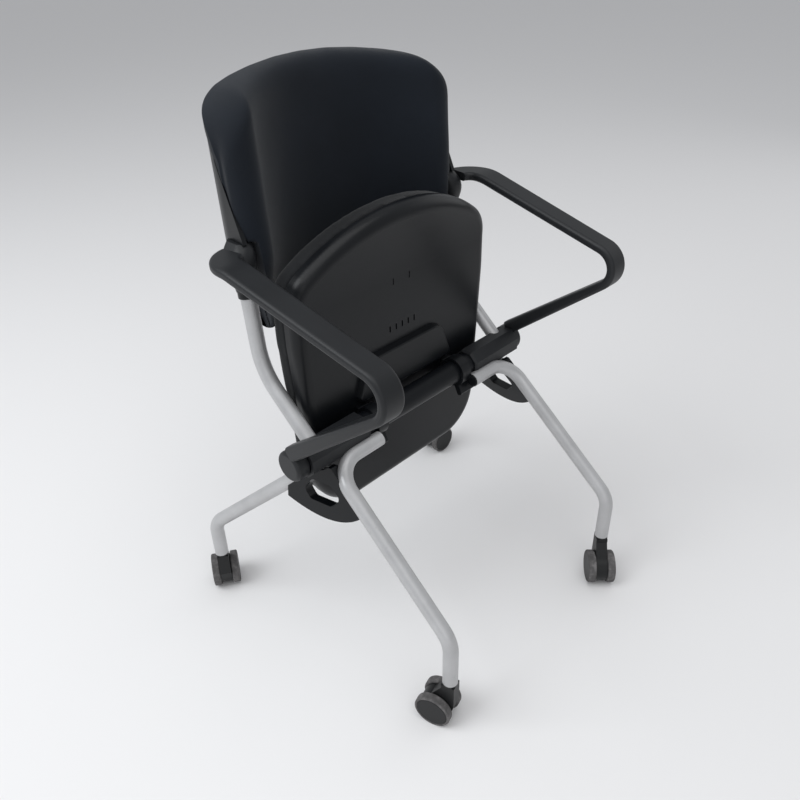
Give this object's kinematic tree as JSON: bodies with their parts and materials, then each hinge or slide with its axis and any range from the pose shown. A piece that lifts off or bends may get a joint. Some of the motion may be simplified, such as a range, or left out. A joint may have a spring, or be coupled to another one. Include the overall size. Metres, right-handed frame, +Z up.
{
  "type": "nesting chair",
  "caption": "Mobile nesting chair: bent-tube frame, loop arms, curved padded back, flip-up padded seat and twin-wheel swivel casters.",
  "frame": {"origin": "on the floor, at the middle of the rectangle of the four caster stems", "axes": "+Z up; the chair faces -Y; +X is the sitter's left"},
  "size_m": [0.6518, 0.5935, 0.9],
  "materials": {
    "tube": "silver-grey powder coat, soft gloss",
    "bar": "black powder coat, soft gloss",
    "steel": "zinc-plated steel",
    "moulding": "satin black moulded plastic",
    "sleeve": "satin black moulded plastic",
    "plate": "satin black moulded plastic",
    "wheel_hub": "black moulded plastic",
    "tread": "worn grey tread",
    "seat_fabric": "tight dark-grey upholstery cloth over foam",
    "back_fabric": "black upholstery cloth over foam",
    "board": "plywood, hidden inside the seat"
  },
  "bodies": {
    "frame": {"front_leg_left": "tube", "front_leg_right": "tube", "rear_leg_left": "tube", "rear_leg_right": "tube", "upright_left": "tube", "upright_right": "tube", "crossbar": "bar", "hinge_stop_pins": "steel", "arm_foot_screws": "steel", "arm_back_screws": "steel", "leg_end_plugs": "moulding", "caster_sockets": "moulding", "upright_collars": "moulding", "back_shell": "moulding", "arm_left": "moulding", "arm_right": "moulding", "crossbar_sleeve_left": "sleeve", "crossbar_sleeve_right": "sleeve", "nesting_plate_outer_left": "plate", "nesting_plate_outer_right": "plate", "nesting_plate_inner_left": "plate", "nesting_plate_inner_right": "plate", "back_pad": "back_fabric"},
    "seat": {"seat_hinge_screws": "steel", "seat_shell": "moulding", "seat_cover": "moulding", "seat_hinge_left": "moulding", "seat_hinge_right": "moulding", "seat_board": "board", "seat_cushion": "seat_fabric"},
    "caster_front_left_swivel": {"caster_front_left_stem": "steel", "caster_front_left_hood": "wheel_hub", "caster_front_left_axle": "steel"},
    "caster_front_left_wheel_a": {"caster_front_left_hub_a": "wheel_hub", "caster_front_left_tread_a": "tread"},
    "caster_front_left_wheel_b": {"caster_front_left_hub_b": "wheel_hub", "caster_front_left_tread_b": "tread"},
    "caster_front_right_swivel": {"caster_front_right_stem": "steel", "caster_front_right_hood": "wheel_hub", "caster_front_right_axle": "steel"},
    "caster_front_right_wheel_a": {"caster_front_right_hub_a": "wheel_hub", "caster_front_right_tread_a": "tread"},
    "caster_front_right_wheel_b": {"caster_front_right_hub_b": "wheel_hub", "caster_front_right_tread_b": "tread"},
    "caster_rear_left_swivel": {"caster_rear_left_stem": "steel", "caster_rear_left_hood": "wheel_hub", "caster_rear_left_axle": "steel"},
    "caster_rear_left_wheel_a": {"caster_rear_left_hub_a": "wheel_hub", "caster_rear_left_tread_a": "tread"},
    "caster_rear_left_wheel_b": {"caster_rear_left_hub_b": "wheel_hub", "caster_rear_left_tread_b": "tread"},
    "caster_rear_right_swivel": {"caster_rear_right_stem": "steel", "caster_rear_right_hood": "wheel_hub", "caster_rear_right_axle": "steel"},
    "caster_rear_right_wheel_a": {"caster_rear_right_hub_a": "wheel_hub", "caster_rear_right_tread_a": "tread"},
    "caster_rear_right_wheel_b": {"caster_rear_right_hub_b": "wheel_hub", "caster_rear_right_tread_b": "tread"}
  },
  "joints": [
    {"name": "seat_flip", "type": "hinge", "parent": "frame", "child": "seat", "pos_m": [0, 0.0195, 0.394], "axis": [1, 0, 0], "range_deg": [0, 87]},
    {"name": "caster_front_left_swivel", "type": "hinge", "parent": "frame", "child": "caster_front_left_swivel", "pos_m": [0.216, -0.2445, 0.09], "axis": [0, 0, 1], "continuous": true},
    {"name": "caster_front_left_roll_a", "type": "hinge", "parent": "caster_front_left_swivel", "child": "caster_front_left_wheel_a", "pos_m": [0.20114, -0.25788, 0.03], "axis": [0.6691, -0.7431, 0], "continuous": true},
    {"name": "caster_front_left_roll_b", "type": "hinge", "parent": "caster_front_left_swivel", "child": "caster_front_left_wheel_b", "pos_m": [0.20114, -0.25788, 0.03], "axis": [0.6691, -0.7431, 0], "continuous": true},
    {"name": "caster_front_right_swivel", "type": "hinge", "parent": "frame", "child": "caster_front_right_swivel", "pos_m": [-0.216, -0.2445, 0.09], "axis": [0, 0, 1], "continuous": true},
    {"name": "caster_front_right_roll_a", "type": "hinge", "parent": "caster_front_right_swivel", "child": "caster_front_right_wheel_a", "pos_m": [-0.22118, -0.22518, 0.03], "axis": [-0.9659, -0.2588, 0], "continuous": true},
    {"name": "caster_front_right_roll_b", "type": "hinge", "parent": "caster_front_right_swivel", "child": "caster_front_right_wheel_b", "pos_m": [-0.22118, -0.22518, 0.03], "axis": [-0.9659, -0.2588, 0], "continuous": true},
    {"name": "caster_rear_left_swivel", "type": "hinge", "parent": "frame", "child": "caster_rear_left_swivel", "pos_m": [0.2885, 0.2445, 0.09], "axis": [0, 0, 1], "continuous": true},
    {"name": "caster_rear_left_roll_a", "type": "hinge", "parent": "caster_rear_left_swivel", "child": "caster_rear_left_wheel_a", "pos_m": [0.3085, 0.2445, 0.03], "axis": [0, 1, 0], "continuous": true},
    {"name": "caster_rear_left_roll_b", "type": "hinge", "parent": "caster_rear_left_swivel", "child": "caster_rear_left_wheel_b", "pos_m": [0.3085, 0.2445, 0.03], "axis": [0, 1, 0], "continuous": true},
    {"name": "caster_rear_right_swivel", "type": "hinge", "parent": "frame", "child": "caster_rear_right_swivel", "pos_m": [-0.2885, 0.2445, 0.09], "axis": [0, 0, 1], "continuous": true},
    {"name": "caster_rear_right_roll_a", "type": "hinge", "parent": "caster_rear_right_swivel", "child": "caster_rear_right_wheel_a", "pos_m": [-0.2779, 0.26146, 0.03], "axis": [-0.848, 0.5299, 0], "continuous": true},
    {"name": "caster_rear_right_roll_b", "type": "hinge", "parent": "caster_rear_right_swivel", "child": "caster_rear_right_wheel_b", "pos_m": [-0.2779, 0.26146, 0.03], "axis": [-0.848, 0.5299, 0], "continuous": true}
  ]
}
